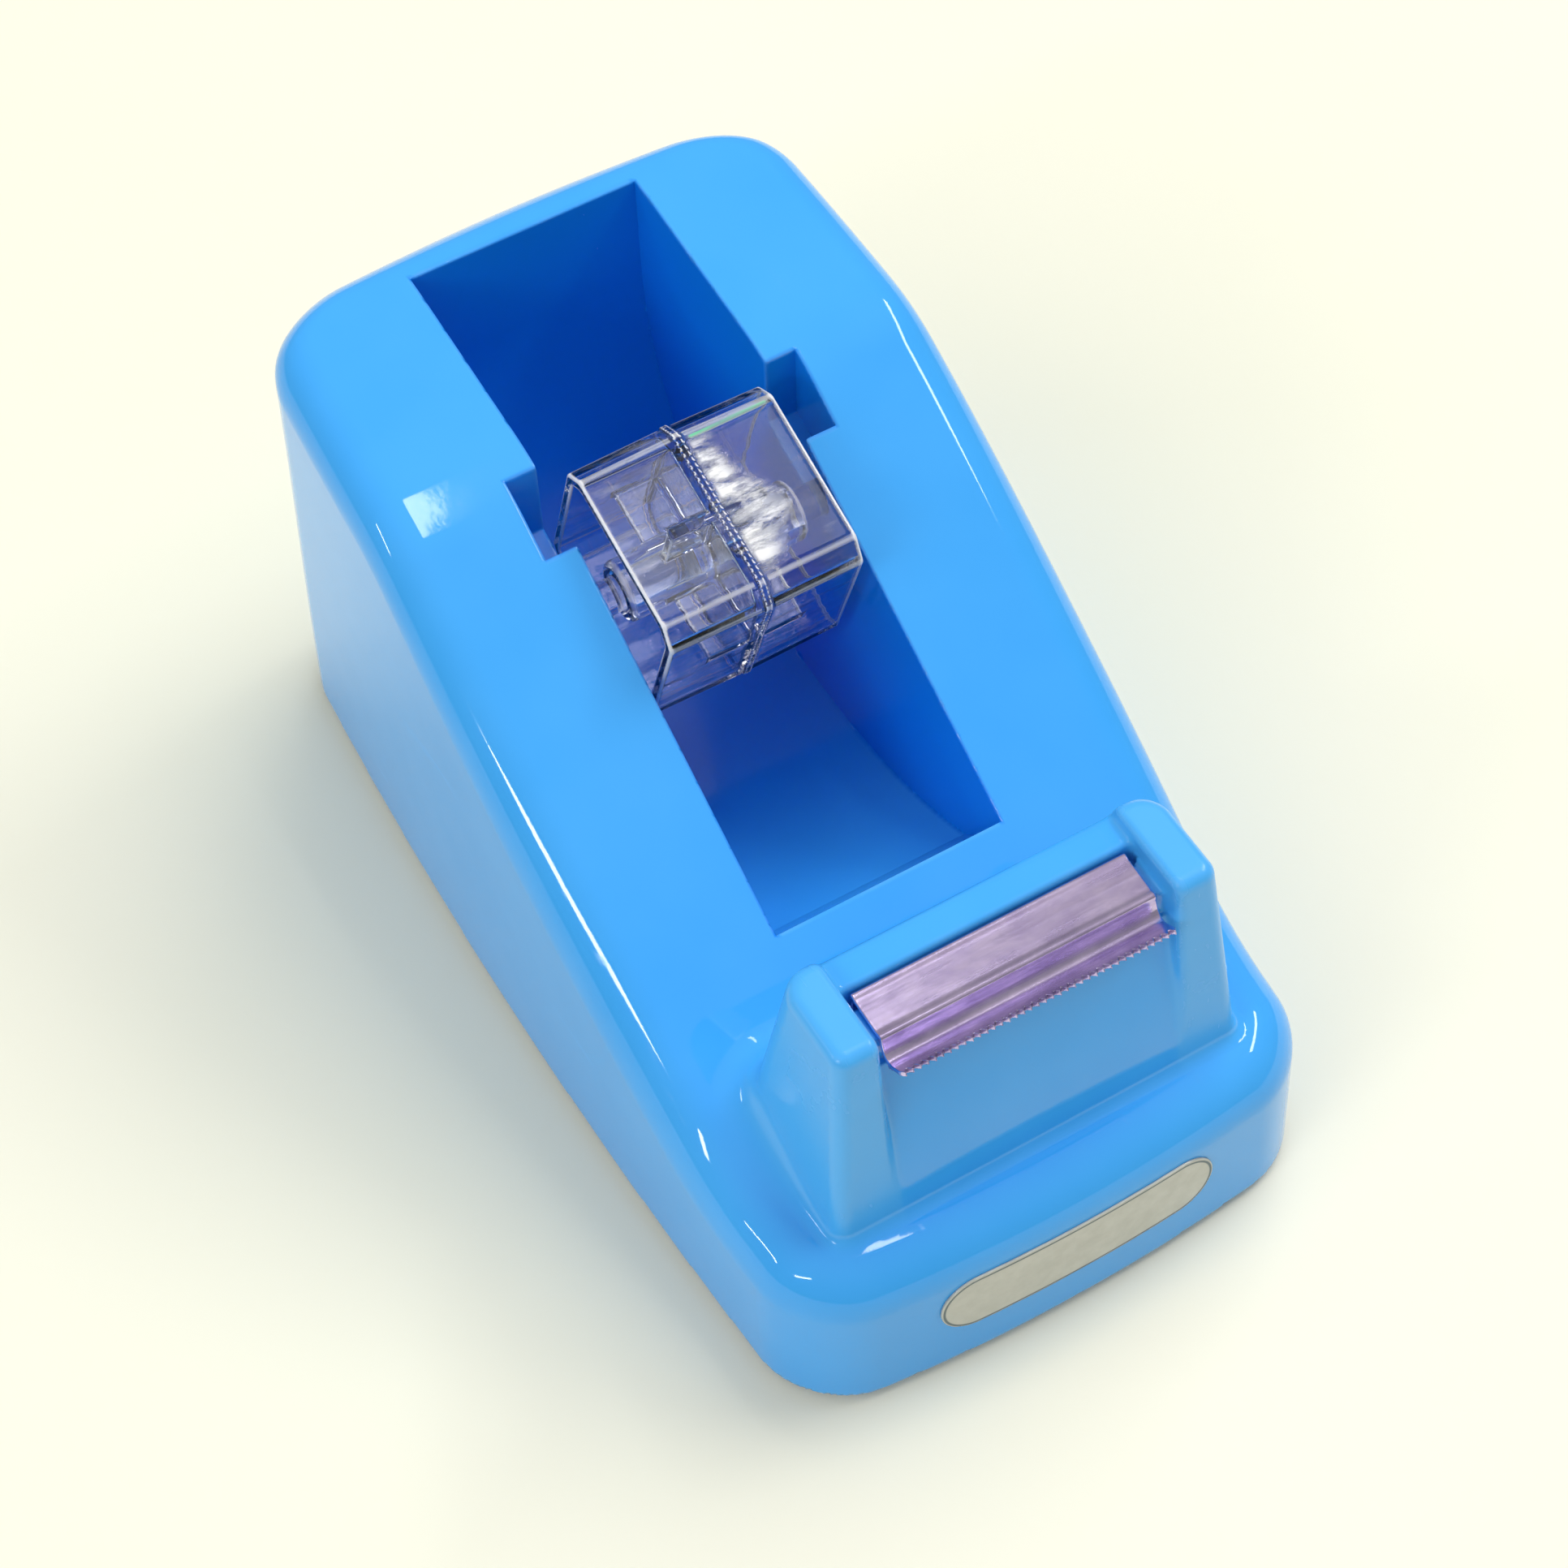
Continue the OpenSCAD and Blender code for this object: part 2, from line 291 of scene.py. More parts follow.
def slot_side(x, y, z):
    """The axle slot seen from the side: an upright entry and a ramp forward to the round seat."""
    middle, half = sum(SLOT_Y) / 2, (SLOT_Y[1] - SLOT_Y[0]) / 2
    entry = np.maximum(np.abs(y - middle) - half, SLOT_FLOOR - z)
    r = PIN_R + SEAT_PLAY
    v, w = y - SEAT[0], z - SEAT[1]
    c, s = math.cos(RAMP_ANGLE), math.sin(RAMP_ANGLE)
    across, along = v * c - w * s, v * s + w * c
    ramp = np.maximum(np.abs(across) - r, -along)
    ramp_floor = line(y, z, (SEAT[0], SEAT[1] - r), (SLOT_Y[1], SLOT_FLOOR))
    wedge = np.maximum(ramp_floor, z - SLOT_FLOOR - 3)
    wedge = np.maximum(wedge, np.maximum(-v, y - SLOT_Y[1]))
    return np.minimum(np.minimum(entry, wedge), np.minimum(ramp, np.hypot(v, w) - r)) + 0 * x


def slot_field(x, y, z):
    """The pair of axle slots, as one cut across the well."""
    return np.maximum(np.abs(x) - SLOT_X, slot_side(x, y, z))


SCREW_X, SCREW_Y = 18.5, (-40.0, 43.0)
BOSS_R, SCREW_HOLE_R, SCREW_HOLE_DEPTH = 3.5, 1.5, 9
PLATE_TOP = FOOT + 1.8
REBATE = 0.7  # how far the base plate is let into the wall


def hollow_field(x, y, z, body):
    """Space inside the shell, with the well's walls and the screw bosses left standing in it."""
    ax = np.abs(x)
    housing = well_field(x, y, z, WALL)
    pocket = np.maximum(np.maximum(ax - SLOT_X - WALL, np.abs(y - 15) - 9), SEAT[1] - 5 - z)
    bosses = np.minimum(*(np.hypot(ax - SCREW_X, y - sy) for sy in SCREW_Y))
    boss = np.maximum(bosses - BOSS_R, PLATE_TOP - z)
    room = np.maximum(body + WALL, -np.minimum(np.minimum(housing, pocket), boss))
    hole = np.maximum(bosses - SCREW_HOLE_R, z - PLATE_TOP - SCREW_HOLE_DEPTH)
    rebate = np.maximum(plan_field(x, y, z) + WALL - REBATE, z - PLATE_TOP)
    return np.minimum(np.minimum(room, hole), rebate)


def skin_field(x, y, z, body=None):
    """The body and its tower, before anything is cut out of them."""
    if body is None:
        body = body_field(x, y, z)
    foot_fillet = 1.2 + 2.6 * ease(y, -45, -33)
    return round_either(tower_field(x, y, z), body, foot_fillet)


def kept_field(x, y, z):
    """Outside the tape well and the axle slots."""
    return round_both(-well_field(x, y, z), -slot_field(x, y, z), 0.2)


def shell_field(x, y, z):
    """The whole blue moulding."""
    body = body_field(x, y, z)
    solid = round_both(skin_field(x, y, z, body), FOOT - z, 0.4)
    solid = round_both(solid, kept_field(x, y, z), 0.2)
    return np.maximum(solid, -hollow_field(x, y, z, body))


SHELL_CREASES = [
    (skin_field, kept_field),
    (lambda x, y, z: -well_field(x, y, z), lambda x, y, z: -slot_field(x, y, z)),
    (lambda x, y, z: np.abs(x) - WELL_X + 0 * (y + z), well_side),
    (lambda x, y, z: np.abs(x) - SLOT_X + 0 * (y + z), slot_side),
]


# ---------------------------------------------------------------- hub drum, axle

SPIN = next(j for j in frame["joints"] if j["name"] == "hub_spin")
HUB_Y, HUB_Z = SPIN["pos_m"][1] / MM, SPIN["pos_m"][2] / MM
HUB_REST = math.radians(18.5)
HUB_HALF, HUB_WALL, HUB_CORNER = 9.55, 1.2, 1.9
HUB_DRAFT = 0.014
HUB_END = box_mm("hub_drum")[1][0]
SEAM_HALF, SEAM_PROUD = 0.35, 0.12  # the flange where the two halves meet
WEB = 0.6
TUBE_R, TUBE_SHORT = 2.95, 0.7  # the bored tube, and how far its ends stay inside the drum
RIB_HALF, RIB_SHORT = 0.45, 5


def hub_axes(y, z):
    """Across and up in the drum's own square, from its axis."""
    v, w = y - HUB_Y, z - HUB_Z
    c, s = math.cos(HUB_REST), math.sin(HUB_REST)
    return v * c + w * s, w * c - v * s


def square_tube(v, w, half, corner):
    """Square of half width half, with its corners cut off by flats."""
    a, b = np.abs(v), np.abs(w)
    flats = round_both(a - half, b - half, 0.2)
    return round_both(flats, (a + b - 2 * half + corner) / math.sqrt(2), 0.25)


def drum_field(x, y, z):
    """Clear drum: two drafted halves, with a web between them and a bored tube on four ribs."""
    v, w = hub_axes(y, z)
    ax = np.abs(x)
    draft = HUB_DRAFT * ax
    outer = square_tube(v, w, HUB_HALF - draft, HUB_CORNER)
    seam = np.maximum(square_tube(v, w, HUB_HALF + SEAM_PROUD, HUB_CORNER), ax - SEAM_HALF)
    outer = np.minimum(outer, seam)
    inner = square_tube(v, w, HUB_HALF - HUB_WALL + 0.3 * draft, HUB_CORNER - 0.6)
    inner = round_both(inner, WEB - ax, 0.5)
    walls = round_both(round_both(outer, ax - HUB_END, 0.25), -inner, 0.15)
    bar = np.hypot(v, w)
    tube = round_both(bar - TUBE_R, ax - HUB_END + TUBE_SHORT, 0.6)
    ribs = np.maximum(np.minimum(np.abs(v), np.abs(w)) - RIB_HALF, ax - HUB_END + RIB_SHORT)
    ribs = np.maximum(ribs, np.maximum(np.abs(v), np.abs(w)) - HUB_HALF + 0.6)
    solid = round_either(walls, np.minimum(tube, ribs), 0.3)
    return np.maximum(solid, PIN_R + 0.06 - bar)


def axle_field(x, y, z):
    """Plain pin with rounded ends."""
    ends = box_mm("hub_axle")[1][0]
    return round_both(np.hypot(y - HUB_Y, z - HUB_Z) - PIN_R, np.abs(x) - ends, 0.35)


# ---------------------------------------------------------------- cutter blade

BLADE_LO, BLADE_HI = box_mm("cutter_blade")
BLADE_T, TEETH, TOOTH_DEPTH = 0.5, 38, 0.62
LEG_Y = BLADE_HI[1] - BLADE_T / 2
BENDS = [  # middle line of the strip as (y, z), from the foot of its leg to the tips of the teeth
    (LEG_Y, BLADE_LO[2] + 0.25),
    (LEG_Y, 39.55),
    (-40.42, 39.25),
    (-41.1, 37.55),
    (-42.0, 37.15),
    (BLADE_LO[1] + 0.1, BLADE_LO[2] + 2.5),
]


def strip(y, z, a, b):
    """Distance from the straight stretch between a and b."""
    d = np.subtract(b, a)
    t = np.clip(((y - a[0]) * d[0] + (z - a[1]) * d[1]) / (d @ d), 0, 1)
    return np.hypot(y - a[0] - t * d[0], z - a[1] - t * d[1])


def blade_field(x, y, z):
    """Bent strip of steel: leg, flat top, dip, and a lip that rises to the saw teeth."""
    sheet = strip(y, z, BENDS[0], BENDS[1])
    for a, b in zip(BENDS[1:], BENDS[2:]):
        sheet = soft_either(sheet, strip(y, z, a, b), 0.5)
    lip = np.subtract(BENDS[-1], BENDS[-2])
    lip_len = math.hypot(*lip)
    along = ((y - BENDS[-2][0]) * lip[0] + (z - BENDS[-2][1]) * lip[1]) / lip_len
    half = BLADE_HI[0]
    saw = np.abs(np.mod(x / (2 * half) * TEETH, 1.0) - 0.5) * 2
    teeth = (along - lip_len + TOOTH_DEPTH * saw) * 0.62  # scaled down to stay close to a distance
    solid = np.maximum(sheet - BLADE_T / 2 + 0.02, teeth)
    return round_both(solid, np.abs(x) - half, 0.15)


# ---------------------------------------------------------------- name plate, foam pad

PLATE_LO, PLATE_HI = box_mm("front_plate")


def pill(x, z):
    """Outline of the name plate, straight on from the front."""
    half, r = PLATE_HI[0], (PLATE_HI[2] - PLATE_LO[2]) / 2
    middle = (PLATE_HI[2] + PLATE_LO[2]) / 2
    return np.hypot(np.maximum(np.abs(x) - half + r, 0), z - middle) - r


def plate_field(x, y, z):
    """Thin pill that follows the curve of the front wall."""
    skin = np.abs(body_field(x, y, z) - 0.12) - 0.16
    return round_both(np.maximum(skin, y - PLATE_HI[1] - 1), pill(x, z), 0.1)


PAD_LO, PAD_HI = box_mm("foam_pad")


def pad_field(x, y, z):
    """Foam sheet with cut edges that bulge a little where the weight presses it."""
    middle = (PAD_LO[2] + PAD_HI[2]) / 2
    inset = END_Y - PAD_HI[1]
    bulge = 0.12 * (1 - ((z - middle) / (PAD_HI[2] - middle)) ** 2)
    edge = plan_field(x, y, FOOT) + inset - bulge + 0.1
    return round_both(edge, np.abs(z - middle) - (PAD_HI[2] - PAD_LO[2]) / 2, 0.3)


# ---------------------------------------------------------------- meshes

MADE = {
    "dispenser_body": ("body_shell", "body", "body_plastic", shell_field, 0.4),
    "tape_drum": ("hub_drum", "hub", "clear_plastic", drum_field, 0.2),
    "axle_pin": ("hub_axle", "axle", "clear_plastic", axle_field, 0.18),
    "saw_blade": ("cutter_blade", "body", "blade_steel", blade_field, 0.11),
    "blank_plate": ("front_plate", "body", "plate_foil", plate_field, 0.15),
    "underside_foam": ("foam_pad", "body", "pad_foam", pad_field, 0.5),
}
PIECES = {}
for piece_name, (node, body, slot, field, pitch) in MADE.items():
    low, high = box_mm(node)
    margin = 3 * pitch
    creases = SHELL_CREASES if node == "body_shell" else ()
    piece = field_mesh(piece_name, field, low - margin, high + margin, pitch, creases=creases)
    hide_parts(node)
    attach(piece, body)
    PIECES[piece_name] = piece


def vertex_values(piece, name, values):
    """Stores one number per vertex, for the materials to read."""
    layer = piece.data.attributes.new(name, "FLOAT", "POINT")
    layer.data.foreach_set("value", values.astype(np.float32))


def points_mm(piece):
    """The piece's vertices, in millimetres."""
    p = np.empty(len(piece.data.vertices) * 3, np.float32)
    piece.data.vertices.foreach_get("co", p)
    return p.reshape(-1, 3).astype(float) / MM


def edge_values(field, p, h=0.35):
    """How sharply the surface bends: positive on outer edges, negative in corners."""
    total = -6 * field(*p.T)
    for i in range(3):
        step = np.zeros(3)
        step[i] = h
        total = total + field(*(p + step).T) + field(*(p - step).T)
    return np.clip(total / h, -1, 1)


def mark_body(piece):
    """Stores where the edges and the two posts are, and where to paint shade on the walls of the
    well and the slots, sparing the lit front of the well floor.
    """
    p = points_mm(piece)
    ax, y = np.abs(p[:, 0]), p[:, 1]
    vertex_values(piece, "edge", edge_values(shell_field, p))
    off_tower = tower_field(*p.T) - body_field(*p.T)
    posts = (1 - ease(off_tower, -1.5, 0.8)) * ease(ax, POST_IN - 0.7, POST_IN)
    vertex_values(piece, "posts", posts)
    # painted shade: the walls of the well and the slots are darkened, all but the lit front of the
    # well floor
    off_cuts = np.minimum(well_field(*p.T), slot_field(*p.T))
    lit_floor = (1 - ease(y, -8, 14)) * (1 - ease(ax, WELL_X - 0.4, WELL_X))
    vertex_values(piece, "well", (1 - ease(off_cuts, 0.05, 0.3)) * (1 - 0.9 * lit_floor))


def mark_plate(piece):
    """Stores how far inside its outline each point of the plate lies."""
    p = points_mm(piece)
    vertex_values(piece, "rim", -pill(p[:, 0], p[:, 2]))


def mark_drum(piece):
    """Stores where the edges, the flow marks and the green glint on the upper side are."""
    p = points_mm(piece)
    vertex_values(piece, "edge", edge_values(drum_field, p, 0.25))
    across, upward = hub_axes(p[:, 1], p[:, 2])
    reach = 3.2 + 3.2 * np.exp(-(((across + 1.5) / 3.0) ** 2))
    flow = ease(p[:, 0], 0.5, 1.0) * (1 - ease(p[:, 0], reach - 2.0, reach + 0.4))
    flow = flow * ease(upward, 6.5, 8.0) * (1 - ease(np.abs(across), 5.5, 7.6))
    vertex_values(piece, "flow", flow)
    glint = ease(p[:, 0], 0.8, 1.2) * (1 - ease(p[:, 0], 8.6, 9.1)) * ease(upward, 9.0, 9.2)
    vertex_values(piece, "glint", glint * (1 - ease(np.abs(across - 7.1), 0.0, 0.22)))


mark_body(PIECES["dispenser_body"])
mark_plate(PIECES["blank_plate"])
mark_drum(PIECES["tape_drum"])


# ---------------------------------------------------------------- materials


class Nodes:
    """Short way to build a node tree around one Principled shader."""

    def __init__(self, name):
        self.material = bpy.data.materials.new(name)
        self.material.use_nodes = True
        self.tree = self.material.node_tree
        self.shader = self.tree.nodes["Principled BSDF"]
        self.place = self.add("ShaderNodeTexCoord").outputs["Object"]

    def add(self, kind, **values):
        node = self.tree.nodes.new(kind)
        for key, value in values.items():
            setattr(node, key, value)
        return node

    def link(self, a, b):
        self.tree.links.new(a, b)

    def noise(self, scale, detail=4.0, stretch=(1, 1, 1), rough=0.55):
        mapping = self.add("ShaderNodeMapping")
        mapping.inputs["Scale"].default_value = stretch
        self.link(self.place, mapping.inputs["Vector"])
        node = self.add("ShaderNodeTexNoise")
        node.inputs["Scale"].default_value = scale
        node.inputs["Detail"].default_value = detail
        node.inputs["Roughness"].default_value = rough
        self.link(mapping.outputs["Vector"], node.inputs["Vector"])
        return node.outputs["Fac"]

    def span(self, value, a, b, c, d):
        """Maps a..b onto c..d, clamped."""
        node = self.add("ShaderNodeMapRange")
        self.link(value, node.inputs["Value"])
        for key, v in zip(("From Min", "From Max", "To Min", "To Max"), (a, b, c, d)):
            node.inputs[key].default_value = v
        return node.outputs["Result"]

    def mix(self, fac, a, b):
        """Colour between a and b, each a colour or a socket."""
        node = self.add("ShaderNodeMix", data_type="RGBA")
        self.link(fac, node.inputs["Factor"])
        for key, v in (("A", a), ("B", b)):
            socket = next(s for s in node.inputs if s.name == key and s.type == "RGBA")
            if hasattr(v, "is_linked"):
                self.link(v, socket)
            else:
                socket.default_value = (*v, 1)
        return next(s for s in node.outputs if s.type == "RGBA")

    def sum(self, a, b, how="ADD"):
        """Sum of two numbers or sockets, or their difference or product."""
        node = self.add("ShaderNodeMath", operation=how)
        for socket, v in zip(node.inputs, (a, b)):
            if hasattr(v, "is_linked"):
                self.link(v, socket)
            else:
                socket.default_value = v
        return node.outputs[0]

    def value(self, name):
        """Number stored on the vertices by one of the functions above."""
        return self.add("ShaderNodeAttribute", attribute_name=name).outputs["Fac"]

    def bump(self, height, strength, distance):
        node = self.add("ShaderNodeBump")
        node.inputs["Strength"].default_value = strength
        node.inputs["Distance"].default_value = distance
        self.link(height, node.inputs["Height"])
        self.link(node.outputs["Normal"], self.shader.inputs["Normal"])

    def set(self, **values):
        """Sets or links inputs of the shader; _ stands for a blank in their names."""
        for key, v in values.items():
            socket = self.shader.inputs[key.replace("_", " ")]
            if hasattr(v, "is_linked"):
                self.link(v, socket)
            else:
                socket.default_value = v


# Colours, each pair being the two ends of a mottling
BLUE = (0.040, 0.375, 0.93), (0.052, 0.400, 0.96)
# the second colour here is painted shade, a darker blue for the walls of the well and the slots
POST_BLUE, WELL_SHADE_BLUE, WORN_BLUE = (0.10, 0.48, 0.95), (0.004, 0.225, 0.83), (0.22, 0.50, 0.98)
LILAC_CLEAR = (0.91, 0.93, 1.0), (0.97, 0.975, 1.0)
GLINT_GREEN = (0.01, 0.80, 0.28)
LILAC_STEEL = (0.47, 0.39, 0.66), (0.74, 0.64, 0.95)
FOIL, FOIL_LINE = ((0.50, 0.50, 0.46), (0.57, 0.57, 0.53)), (0.10, 0.14, 0.16)
FOAM = (0.028, 0.024, 0.024), (0.085, 0.074, 0.072)
MATT_BLUE = (0.03, 0.16, 0.50), (0.045, 0.20, 0.58)
IRON = (0.10, 0.10, 0.105), (0.16, 0.09, 0.055)
ZINC = (0.55, 0.56, 0.58), (0.70, 0.70, 0.68)
PAPER = (0.86, 0.86, 0.72), (0.88, 0.87, 0.75)


def body_plastic():
    """Polished blue ABS: faint mottling, satin posts, paler worn edges, hairline scuffs and
    painted shade in the well and the slots.
    """
    n = Nodes("body_plastic")
    blue = n.mix(n.span(n.noise(45, 3), 0.35, 0.65, 0, 1), *BLUE)
    blue = n.mix(n.span(n.value("posts"), 0, 1, 0, 0.4), blue, POST_BLUE)
    # painted shade: a darker blue on the walls of the well and the slots
    blue = n.mix(n.value("well"), blue, WELL_SHADE_BLUE)
    patchy = n.span(n.noise(260, 5), 0.35, 0.7, 0.1, 1)
    edge = n.sum(n.span(n.value("edge"), 0.25, 1.0, 0, 0.22), patchy, "MULTIPLY")
    n.set(Base_Color=n.mix(edge, blue, WORN_BLUE))
    scuffs = n.span(n.noise(900, 2, (1, 0.05, 0.4)), 0.66, 0.8, 0, 0.22)
    rough = n.sum(n.span(n.noise(120, 4), 0.3, 0.7, 0.025, 0.06), scuffs)
    rough = n.sum(rough, n.span(n.value("posts"), 0, 1, 0, 0.22))
    rough = n.sum(rough, n.span(n.value("well"), 0, 1, 0, 0.08))
    n.set(Roughness=n.sum(rough, n.span(edge, 0, 0.5, 0, 0.15)), IOR=1.52)
    n.set(Coat_Weight=0.05, Coat_Roughness=0.02, Coat_IOR=1.5)
    n.bump(n.noise(380, 3), 0.03, 0.0002)
    return n.material


def clear_plastic(name, flow):
    """Clear styrene with a lilac cast. With flow its edges are painted white as a highlight, and
    it has the drum's flow marks and a painted green glint."""
    n = Nodes(name)
    tint = n.mix(n.span(n.noise(200, 3), 0.35, 0.65, 0, 1), *LILAC_CLEAR)
    height = n.noise(220, 3, (0.25, 1, 1))
    clear = n.span(n.noise(500, 4, (0.3, 1, 1)), 0.58, 0.8, 1, 0.8)
    if flow:
        # painted highlight: the drum is made less clear, so whiter, along its edges
        clear = n.sum(clear, n.span(n.value("edge"), 0.25, 0.8, 0, 0.75), "SUBTRACT")
        feathers = n.span(n.noise(480, 6, (0.4, 1.5, 1.5), 0.65), 0.42, 0.56, 0, 1)
        marks = n.sum(feathers, n.value("flow"), "MULTIPLY")
        clear = n.sum(clear, n.sum(marks, 0.9, "MULTIPLY"), "SUBTRACT")
        clear = n.sum(clear, n.sum(n.value("glint"), 0.8, "MULTIPLY"), "SUBTRACT")
        tint = n.mix(n.value("glint"), tint, GLINT_GREEN)
        height = n.sum(height, n.sum(marks, 1.2, "MULTIPLY"))
    n.set(Base_Color=tint, IOR=1.43, Transmission_Weight=clear)
    n.set(Roughness=n.span(n.noise(300, 3), 0.3, 0.7, 0.0, 0.04))
    n.bump(height, 0.3, 0.0003)
    return n.material


def blade_steel():
    """Rolled strip steel: drawn grain along its length, faint smears and a lilac sheen."""
    n = Nodes("blade_steel")
    smear = n.span(n.noise(500, 5, (0.5, 1, 1)), 0.35, 0.7, 0, 1)
    n.set(Metallic=1.0, Base_Color=n.mix(smear, *LILAC_STEEL))
    grain = n.noise(2600, 3, (0.03, 1, 1))
    n.set(Roughness=n.sum(n.span(grain, 0.3, 0.7, 0.12, 0.24), n.span(smear, 0, 1, 0.08, 0)))
    n.bump(grain, 0.15, 0.0001)
    return n.material


def plate_foil():
    """Silver-grey foil with a thin dark line just inside its edge, otherwise blank."""
    n = Nodes("plate_foil")
    rim = n.value("rim")
    ring = n.sum(n.span(rim, 0.10, 0.18, 0, 1), n.span(rim, 0.32, 0.42, 1, 0), "MULTIPLY")
    foil = n.mix(n.span(n.noise(700, 4), 0.3, 0.7, 0, 1), *FOIL)
    n.set(Base_Color=n.mix(ring, foil, FOIL_LINE), Metallic=0.35)
    n.set(Roughness=n.span(n.noise(300, 3), 0.3, 0.7, 0.28, 0.40))
    n.bump(n.noise(1500, 2), 0.08, 0.0001)
    return n.material


def foam():
    """Dark closed-cell foam with small open pores."""
    n = Nodes("pad_foam")
    cells = n.add("ShaderNodeTexVoronoi")
    cells.inputs["Scale"].default_value = 2600
    n.link(n.place, cells.inputs["Vector"])
    pores = n.span(cells.outputs["Distance"], 0.0, 0.5, 0, 1)
    n.set(Base_Color=n.mix(pores, *FOAM), Roughness=n.span(pores, 0, 1, 0.95, 0.8))
    n.bump(pores, 0.5, 0.0003)
    return n.material


def matt_plastic():
    """Duller and darker blue plastic with a fine grain."""
    n = Nodes("base_plastic")
    n.set(Base_Color=n.mix(n.span(n.noise(90, 4), 0.3, 0.7, 0, 1), *MATT_BLUE))
    n.set(Roughness=n.span(n.noise(300, 3), 0.3, 0.7, 0.45, 0.62))
    n.bump(n.noise(1400, 3), 0.25, 0.0002)
    return n.material


def cast_iron():
    """Rough grey iron with patches of rust."""
    n = Nodes("ballast")
    rust = n.span(n.noise(140, 6), 0.55, 0.75, 0, 1)
    n.set(Base_Color=n.mix(rust, *IRON), Metallic=0.7)
    n.set(Roughness=n.span(rust, 0, 1, 0.5, 0.85))
    n.bump(n.noise(900, 6, rough=0.7), 0.6, 0.0004)
    return n.material


def zinc():
    """Zinc plating with a faint spangle."""
    n = Nodes("screw_steel")
    n.set(Base_Color=n.mix(n.span(n.noise(800, 4), 0.3, 0.7, 0, 1), *ZINC), Metallic=1.0)
    n.set(Roughness=n.span(n.noise(1200, 3), 0.3, 0.7, 0.22, 0.4))
    n.bump(n.noise(3000, 2), 0.15, 0.0001)
    return n.material


FINISH = {
    PIECES["dispenser_body"]: body_plastic(),
    PIECES["tape_drum"]: clear_plastic("drum_clear", True),
    PIECES["axle_pin"]: clear_plastic("axle_clear", False),
    PIECES["saw_blade"]: blade_steel(),
    PIECES["blank_plate"]: plate_foil(),
    PIECES["underside_foam"]: foam(),
    NODES["base_plate"]: matt_plastic(),
    NODES["ballast_block"]: cast_iron(),
    NODES["base_screws"]: zinc(),
}
for piece, material in FINISH.items():
    if piece.material_slots:
        for material_slot in piece.material_slots:
            material_slot.material = material
    else:
        piece.data.materials.append(material)


# ---------------------------------------------------------------- camera

VIEW_AZ, VIEW_EL, VIEW_ROLL = (math.radians(a) for a in (-28.575, 54.335, -2.468))
VIEW_DISTANCE = 0.3559
VIEW_LENS, SENSOR_WIDTH = 85.35, 36  # in millimetres
AIM_ACROSS, AIM_UP, AIM_HEIGHT = 0.00043, 0.0092, 0.001  # aim, from the centre of the footprint


def direction(azimuth, elevation):
    """From the object outwards; azimuth 0 is in front of it and a quarter turn on its right."""
    level = math.cos(elevation)
    return Vector((math.sin(azimuth) * level, -math.cos(azimuth) * level, math.sin(elevation)))


def photo_camera():
    """Camera at the place and with the lens found from the photo."""
    back = direction(VIEW_AZ, VIEW_EL)
    right = (-back).cross(Vector((0, 0, 1))).normalized()
    up = right.cross(-back)
    turned = right * math.cos(VIEW_ROLL) + up * math.sin(VIEW_ROLL)
    raised = up * math.cos(VIEW_ROLL) - right * math.sin(VIEW_ROLL)
    aim = turned * AIM_ACROSS + raised * AIM_UP + Vector((0, 0, AIM_HEIGHT))
    data = bpy.data.cameras.new("photo_camera")
    data.lens, data.sensor_width = VIEW_LENS, SENSOR_WIDTH
    data.clip_start, data.clip_end = 0.01, 20
    camera = bpy.data.objects.new("photo_camera", data)
    rows = Matrix((turned, raised, back)).transposed().to_4x4()
    camera.matrix_world = Matrix.Translation(back * VIEW_DISTANCE + aim) @ rows
    bpy.context.scene.collection.objects.link(camera)
    bpy.context.scene.camera = camera


# ---------------------------------------------------------------- floor and light

LIGHT_AIM = Vector((0, 0, 0.03))
SKY = (  # height in the sky, from straight down to straight up, and colour there
    (0.0, (0.28, 0.29, 0.25, 1)),
    (0.45, (0.36, 0.36, 0.33, 1)),
    (1.0, (0.60, 0.57, 0.52, 1)),
)


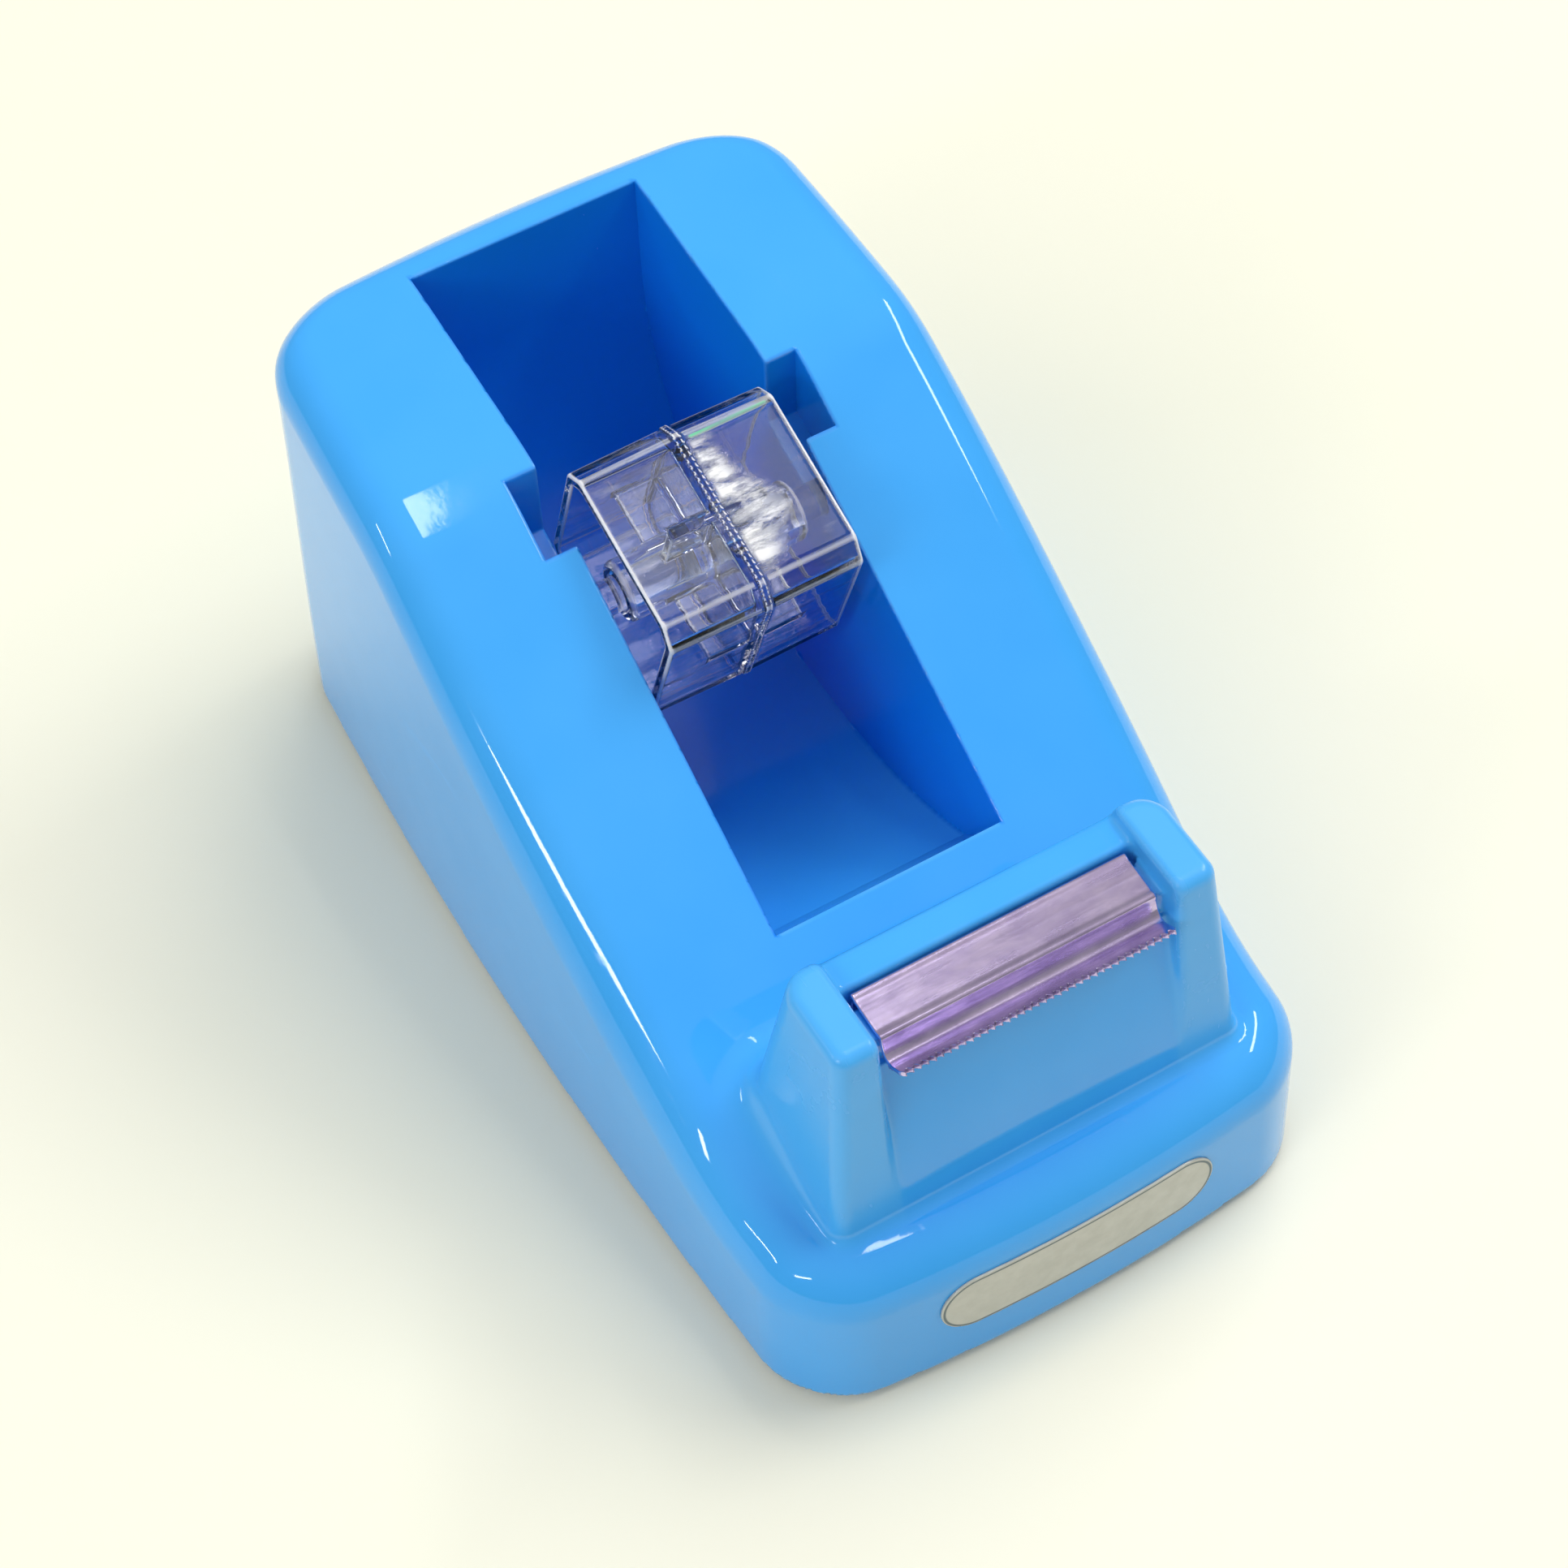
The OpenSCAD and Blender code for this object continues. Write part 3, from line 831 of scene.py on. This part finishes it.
def floor():
    """Pale warm paper, far larger than the view."""
    mesh = bpy.data.meshes.new("floor")
    r = 2.0
    mesh.from_pydata([(-r, -r, 0), (r, -r, 0), (r, r, 0), (-r, r, 0)], [], [(0, 1, 2, 3)])
    made = bpy.data.objects.new("floor", mesh)
    bpy.context.scene.collection.objects.link(made)
    n = Nodes("floor_paper")
    n.set(Base_Color=n.mix(n.span(n.noise(6, 3), 0.3, 0.7, 0, 1), *PAPER), Roughness=0.6)
    n.bump(n.noise(500, 4), 0.1, 0.0003)
    mesh.materials.append(n.material)


def softbox(name, azimuth, elevation, distance, size, watts, roll=0):
    """Rectangular light that faces the object; angles in degrees, as in direction()."""
    towards = direction(math.radians(azimuth), math.radians(elevation))
    light = bpy.data.lights.new(name, "AREA")
    light.shape, light.size, light.size_y = "RECTANGLE", *size
    light.energy = watts
    made = bpy.data.objects.new(name, light)
    made.location = towards * distance + LIGHT_AIM
    facing = towards.to_track_quat("Z", "Y").to_matrix()
    made.rotation_euler = (facing @ Matrix.Rotation(math.radians(roll), 3, "Z")).to_euler()
    bpy.context.scene.collection.objects.link(made)
    return made


def studio():
    """Narrow boxes for the highlights, two broad fills without a reflection, and a grey sky."""
    softbox("top_box", 118, 77.3, 1.08, size=(0.5, 0.028), watts=0.45, roll=-29)
    softbox("left_window", -70.4, 31.8, 1.0, size=(0.29, 0.05), watts=0.9, roll=32.6)
    softbox("left_slit", -109, 24.5, 1.0, size=(0.24, 0.03), watts=0.45, roll=-13)
    softbox("right_window", 85.4, 48.3, 1.0, size=(0.6, 0.08), watts=2.1, roll=-16)
    for side, azimuth, elevation, watts in (("right", 112, 57, 7.6), ("left", -75, 38, 4.0)):
        fill = softbox(side + "_fill", azimuth, elevation, 1.2, size=(0.9, 0.9), watts=watts)
        fill.visible_glossy = False
    world = bpy.data.worlds.new("studio")
    world.use_nodes = True
    tree = world.node_tree
    place = tree.nodes.new("ShaderNodeTexCoord")
    split = tree.nodes.new("ShaderNodeSeparateXYZ")
    ramp = tree.nodes.new("ShaderNodeValToRGB")
    ramp.color_ramp.elements.new(SKY[1][0])
    for element, (at, colour) in zip(ramp.color_ramp.elements, SKY):
        element.position, element.color = at, colour
    tree.links.new(place.outputs["Generated"], split.inputs["Vector"])
    tree.links.new(split.outputs["Z"], ramp.inputs["Fac"])
    tree.links.new(ramp.outputs["Color"], tree.nodes["Background"].inputs["Color"])
    bpy.context.scene.world = world
    bpy.context.scene.view_settings.view_transform = "Standard"


floor()
studio()
photo_camera()
